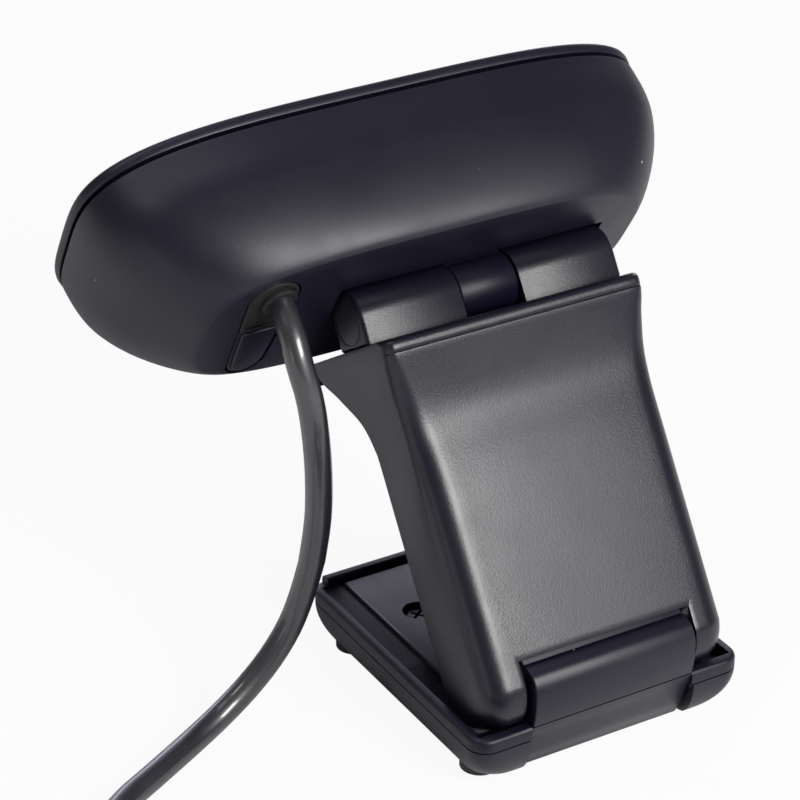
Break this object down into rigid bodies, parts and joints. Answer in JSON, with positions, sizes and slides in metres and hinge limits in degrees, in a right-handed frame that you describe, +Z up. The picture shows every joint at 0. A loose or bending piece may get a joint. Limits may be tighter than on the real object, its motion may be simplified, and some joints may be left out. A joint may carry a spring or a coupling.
{
  "type": "webcam",
  "caption": "Webcam with an oval head on a tilt hinge, a folding monitor clip that also stands on a desk, a tripod thread and a coiled USB cable.",
  "frame": {"origin": "on the table under the middle of the webcam's own box, without the cable", "axes": "+Z up, the lens looks towards -Y and 30 degrees up, +X along the head's length"},
  "size_m": [0.1155, 0.1468, 0.0862],
  "materials": {
    "satin_black": "satin moulded plastic",
    "gloss_black": "polished plastic",
    "grained_black": "fine sparkling grain",
    "optical_glass": "coated lens window",
    "sensor": "glass-covered sensor",
    "board_green": "solder mask",
    "chip_black": "moulded epoxy",
    "steel": "plated steel",
    "clear_plastic": "clear light guide",
    "black_rubber": "soft rubber",
    "cable_jacket": "satin cable jacket",
    "tie_black": "soft strap",
    "plug_black": "soft overmould",
    "plug_white": "plug insert",
    "brass": "turned brass"
  },
  "bodies": {
    "foot": {"foot_cover": "satin_black", "foot_shell": "satin_black", "knuckle_upper": "satin_black", "knuckle_lower": "satin_black", "foot_pin": "steel", "hinge_washers": "steel", "foot_screws": "steel", "knuckle_screws": "steel", "rubber_feet": "black_rubber", "tripod_nut": "brass", "cord_lower": "cable_jacket", "cord_tail": "cable_jacket", "usb_coil": "cable_jacket", "coil_tie": "tie_black", "plug_grip": "plug_black", "plug_shell": "steel", "plug_insert": "plug_white"},
    "clip": {"tilt_pin": "steel", "pin_caps": "gloss_black", "hinge_barrels": "grained_black", "clip_frame": "satin_black", "arm_cover": "grained_black", "top_bead": "gloss_black", "arm_pad": "black_rubber", "lip_pad": "black_rubber", "cover_screws": "steel"},
    "head": {"rear_housing": "satin_black", "front_bezel": "satin_black", "front_panel": "gloss_black", "lens_ring": "gloss_black", "lens_glass": "optical_glass", "lens_barrel": "gloss_black", "lens_holder": "satin_black", "image_sensor": "sensor", "main_board": "board_green", "board_chips": "chip_black", "board_screws": "steel", "mic_boots": "black_rubber", "microphones": "steel", "light_guides": "clear_plastic", "status_lights": "clear_plastic", "cable_gland": "black_rubber", "gland_cover": "satin_black", "tilt_bracket": "satin_black", "bracket_screws": "steel", "cord_upper": "cable_jacket"}
  },
  "joints": [
    {"name": "foot_hinge", "type": "hinge", "parent": "foot", "child": "clip", "pos_m": [-0.0074, 0.02835, 0.0139], "axis": [1, 0, 0], "range_deg": [-8, 46], "deforming": ["cord_lower"]},
    {"name": "head_tilt", "type": "hinge", "parent": "clip", "child": "head", "pos_m": [-0.0074, -0.00274, 0.05774], "axis": [-1, 0, 0], "range_deg": [0, 45], "deforming": ["cord_upper"]}
  ]
}
